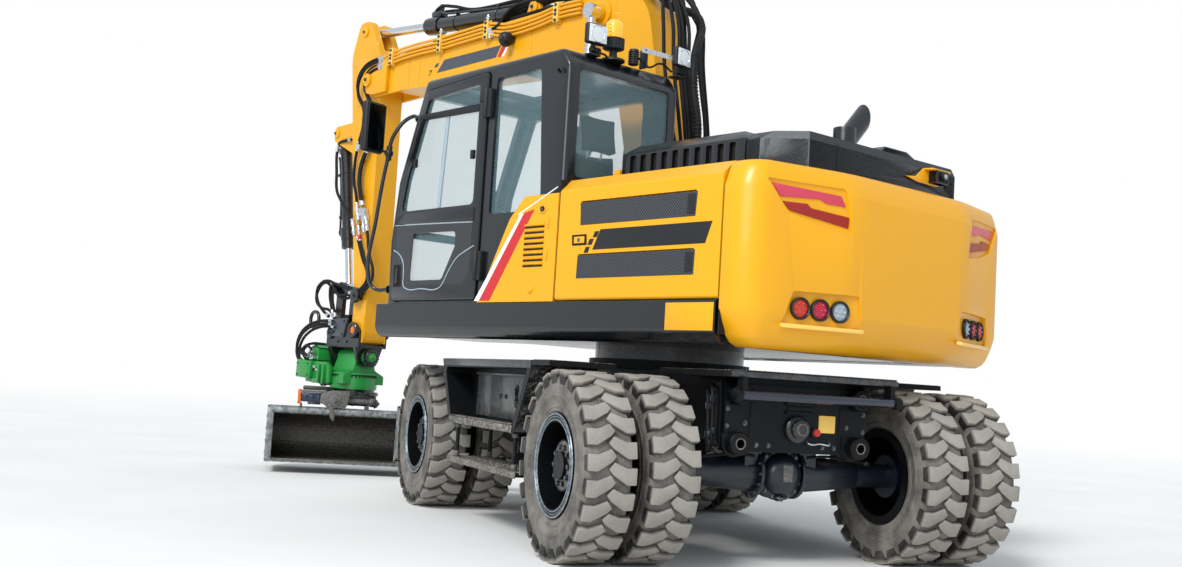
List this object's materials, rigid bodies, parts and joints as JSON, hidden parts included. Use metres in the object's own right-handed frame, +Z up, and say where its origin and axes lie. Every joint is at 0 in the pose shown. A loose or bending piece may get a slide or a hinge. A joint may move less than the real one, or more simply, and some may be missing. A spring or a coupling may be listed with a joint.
{
  "type": "wheeled excavator",
  "caption": "Wheeled excavator with twin tyres, dozer blade, slewing cab and hood, one-piece boom, stick and a tilting, turning grading bucket.",
  "frame": {"origin": "on the ground under the middle of the whole outline as parked, with the upper structure and arm turned to the left", "axes": "+X forwards along the chassis, +Y to the left, +Z up"},
  "size_m": [7.0384, 3.8317, 4.4],
  "materials": {
    "yellow_paint": "glossy amber yellow enamel",
    "black_paint": "satin black enamel",
    "dark_steel": "matt dark grey paint on castings",
    "black_rims": "satin black with worn edges",
    "tyre_rubber": "dusty grey rubber",
    "chrome_rods": "polished hard chrome",
    "clear_glass": "lightly tinted safety glass",
    "seat_fabric": "dark woven cloth",
    "console_plastic": "matt dark grey",
    "lamp_plastic": "clear and orange lamp plastic",
    "green_paint": "glossy green enamel",
    "bare_steel": "worn grey paint with scoured bare steel"
  },
  "bodies": {
    "chassis": {"chassis_frame": "black_paint", "driveline": "dark_steel", "front_axle": "dark_steel", "rear_axle": "dark_steel", "toolbox_left": "black_paint", "toolbox_right": "black_paint"},
    "knuckle_left": {"knuckle_left": "dark_steel"},
    "knuckle_right": {"knuckle_right": "dark_steel"},
    "steering_rod": {"steering_rod": "chrome_rods"},
    "wheel_front_left": {"tyres_front_left": "tyre_rubber", "rims_front_left": "black_rims"},
    "wheel_front_right": {"tyres_front_right": "tyre_rubber", "rims_front_right": "black_rims"},
    "wheel_rear_left": {"tyres_rear_left": "tyre_rubber", "rims_rear_left": "black_rims"},
    "wheel_rear_right": {"tyres_rear_right": "tyre_rubber", "rims_rear_right": "black_rims"},
    "blade": {"blade": "black_paint"},
    "blade_barrels": {"blade_barrels": "black_paint"},
    "blade_rods": {"blade_rods": "chrome_rods"},
    "upper": {"upper_frame": "black_paint", "counterweight": "yellow_paint", "engine": "dark_steel", "left_bodywork": "yellow_paint", "right_tank": "yellow_paint", "hood_base": "dark_steel", "exhaust": "dark_steel", "cab_shell": "black_paint", "cab_glass": "clear_glass", "seat": "seat_fabric", "console": "console_plastic", "roof_lamps": "lamp_plastic", "grab_rail": "black_paint"},
    "hood_lid": {"hood_lid": "dark_steel"},
    "side_door_left": {"side_door_left": "yellow_paint"},
    "side_door_right": {"side_door_right": "yellow_paint"},
    "cab_door": {"cab_door": "black_paint", "door_glass": "clear_glass"},
    "boom": {"boom": "yellow_paint", "boom_pipes": "yellow_paint"},
    "lift_barrels": {"lift_barrels": "black_paint"},
    "lift_rods": {"lift_rods": "chrome_rods"},
    "stick": {"stick": "yellow_paint"},
    "crowd_barrel": {"crowd_barrel": "black_paint"},
    "crowd_rod": {"crowd_rod": "chrome_rods"},
    "dump_barrel": {"dump_barrel": "black_paint"},
    "dump_rod": {"dump_rod": "chrome_rods"},
    "rocker": {"rocker": "black_paint"},
    "link": {"link": "black_paint"},
    "hitch": {"hitch": "black_paint"},
    "tilt_body": {"tilt_body": "green_paint"},
    "tool": {"coupler": "black_paint", "bucket": "bare_steel"}
  },
  "joints": [
    {"name": "steer_left", "type": "hinge", "parent": "chassis", "child": "knuckle_left", "pos_m": [0.0348, 0.5834, 0.53], "axis": [0, 0, 1], "range_deg": [-25, 25]},
    {"name": "steer_right", "type": "hinge", "parent": "chassis", "child": "knuckle_right", "pos_m": [0.0348, -0.9766, 0.53], "axis": [0, 0, 1], "range_deg": [-25.5, 25.5]},
    {"name": "steering_rod_slide", "type": "slide", "parent": "chassis", "child": "steering_rod", "axis": [0, 1, 0], "range_m": [-0.0752, 0.0752]},
    {"name": "wheel_front_left_spin", "type": "hinge", "parent": "knuckle_left", "child": "wheel_front_left", "pos_m": [0.0348, 0.8759, 0.53], "axis": [0, 1, 0], "continuous": true},
    {"name": "wheel_rear_left_spin", "type": "hinge", "parent": "chassis", "child": "wheel_rear_left", "pos_m": [-2.8652, 0.8759, 0.53], "axis": [0, 1, 0], "continuous": true},
    {"name": "wheel_front_right_spin", "type": "hinge", "parent": "knuckle_right", "child": "wheel_front_right", "pos_m": [0.0348, -1.2691, 0.53], "axis": [0, 1, 0], "continuous": true},
    {"name": "wheel_rear_right_spin", "type": "hinge", "parent": "chassis", "child": "wheel_rear_right", "pos_m": [-2.8652, -1.2691, 0.53], "axis": [0, 1, 0], "continuous": true},
    {"name": "blade_lift", "type": "hinge", "parent": "chassis", "child": "blade", "pos_m": [0.5898, -0.1966, 0.655], "axis": [0, 1, 0], "range_deg": [-12, 24]},
    {"name": "blade_barrel_hinge", "type": "hinge", "parent": "chassis", "child": "blade_barrels", "pos_m": [0.5498, -0.1966, 0.925], "axis": [0, 1, 0], "range_deg": [-8.54, 16.57]},
    {"name": "blade_rod_slide", "type": "slide", "parent": "blade_barrels", "child": "blade_rods", "axis": [0.7708, 0, -0.6371], "range_m": [-0.0352, 0.0695]},
    {"name": "slew", "type": "hinge", "parent": "chassis", "child": "upper", "pos_m": [-1.4152, -0.1966, 1.17], "axis": [0, 0, 1], "continuous": true},
    {"name": "cab_door_hinge", "type": "hinge", "parent": "upper", "child": "cab_door", "pos_m": [-1.19931, 1.201, 2.2], "axis": [0, 0, 1], "range_deg": [0, 150]},
    {"name": "side_door_left_hinge", "type": "hinge", "parent": "upper", "child": "side_door_left", "pos_m": [-3.31659, 0.46927, 1.9], "axis": [0, 0, 1], "range_deg": [0, 110]},
    {"name": "side_door_right_hinge", "type": "hinge", "parent": "upper", "child": "side_door_right", "pos_m": [-2.53883, -1.86876, 1.9], "axis": [0, 0, -1], "range_deg": [0, 110]},
    {"name": "hood_hinge", "type": "hinge", "parent": "upper", "child": "hood_lid", "pos_m": [-1.82796, -0.33391, 2.32], "axis": [-0.3156, 0.9489, 0], "range_deg": [0, 60]},
    {"name": "boom_lift", "type": "hinge", "parent": "upper", "child": "boom", "pos_m": [-1.28243, -0.2789, 1.8], "axis": [-0.3156, 0.9489, 0], "range_deg": [-8, 57]},
    {"name": "lift_barrel_hinge", "type": "hinge", "parent": "upper", "child": "lift_barrels", "pos_m": [-0.47589, -0.0106, 1.585], "axis": [-0.3156, 0.9489, 0], "range_deg": [-8.98, 60.94]},
    {"name": "lift_rod_slide", "type": "slide", "parent": "lift_barrels", "child": "lift_rods", "axis": [-0.0212, -0.0071, 0.9997], "range_m": [-0.8384, 0.1185]},
    {"name": "stick_swing", "type": "hinge", "parent": "boom", "child": "stick", "pos_m": [2.6554, 1.03104, 3.77], "axis": [-0.3156, 0.9489, 0], "range_deg": [-72, 16]},
    {"name": "crowd_barrel_hinge", "type": "hinge", "parent": "boom", "child": "crowd_barrel", "pos_m": [0.34963, 0.26402, 4.06], "axis": [-0.3156, 0.9489, 0], "range_deg": [-0.94, 0.6]},
    {"name": "crowd_rod_slide", "type": "slide", "parent": "crowd_barrel", "child": "crowd_rod", "axis": [0.945, 0.3144, 0.0899], "range_m": [-0.6907, 0.1543]},
    {"name": "bucket_curl", "type": "hinge", "parent": "stick", "child": "hitch", "pos_m": [2.62694, 1.02157, 1.36], "axis": [-0.3156, 0.9489, 0], "range_deg": [-40, 75]},
    {"name": "rocker_hinge", "type": "hinge", "parent": "stick", "child": "rocker", "pos_m": [2.62219, 1.02, 1.69], "axis": [-0.3156, 0.9489, 0], "range_deg": [-37.94, 70.7]},
    {"name": "link_hinge", "type": "hinge", "parent": "rocker", "child": "link", "pos_m": [3.02546, 1.15415, 1.775], "axis": [-0.3156, 0.9489, 0], "range_deg": [-48.38, 26.04]},
    {"name": "dump_barrel_hinge", "type": "hinge", "parent": "stick", "child": "dump_barrel", "pos_m": [3.30064, 1.24568, 3.34], "axis": [-0.3156, 0.9489, 0], "range_deg": [-1.87, 1.23]},
    {"name": "dump_rod_slide", "type": "slide", "parent": "dump_barrel", "child": "dump_rod", "axis": [-0.1729, -0.0575, -0.9833], "range_m": [-0.2622, 0.4908]},
    {"name": "bucket_tilt", "type": "hinge", "parent": "hitch", "child": "tilt_body", "pos_m": [2.8262, 1.08786, 1.11], "axis": [0.9489, 0.3156, 0], "range_deg": [-40, 40]},
    {"name": "bucket_turn", "type": "hinge", "parent": "tilt_body", "child": "tool", "pos_m": [2.8262, 1.08786, 0.8], "axis": [0, 0, 1], "continuous": true}
  ],
  "couplings": [
    {"joint": "steer_right", "follows": "steer_left", "ratio": 1},
    {"joint": "steering_rod_slide", "follows": "steer_left", "m_per_rad": 0.17},
    {"joint": "blade_barrel_hinge", "follows": "blade_lift", "ratio": 0.66969},
    {"joint": "blade_rod_slide", "follows": "blade_lift", "m_per_rad": 0.16351},
    {"joint": "lift_barrel_hinge", "follows": "boom_lift", "ratio": 1.0603},
    {"joint": "lift_rod_slide", "follows": "boom_lift", "m_per_rad": -0.84173},
    {"joint": "crowd_barrel_hinge", "follows": "stick_swing", "ratio": 0.00605},
    {"joint": "crowd_rod_slide", "follows": "stick_swing", "m_per_rad": 0.54883},
    {"joint": "rocker_hinge", "follows": "bucket_curl", "ratio": 0.936},
    {"joint": "link_hinge", "follows": "bucket_curl", "ratio": -0.63843},
    {"joint": "dump_barrel_hinge", "follows": "bucket_curl", "ratio": -0.0183},
    {"joint": "dump_rod_slide", "follows": "bucket_curl", "m_per_rad": 0.37418}
  ]
}
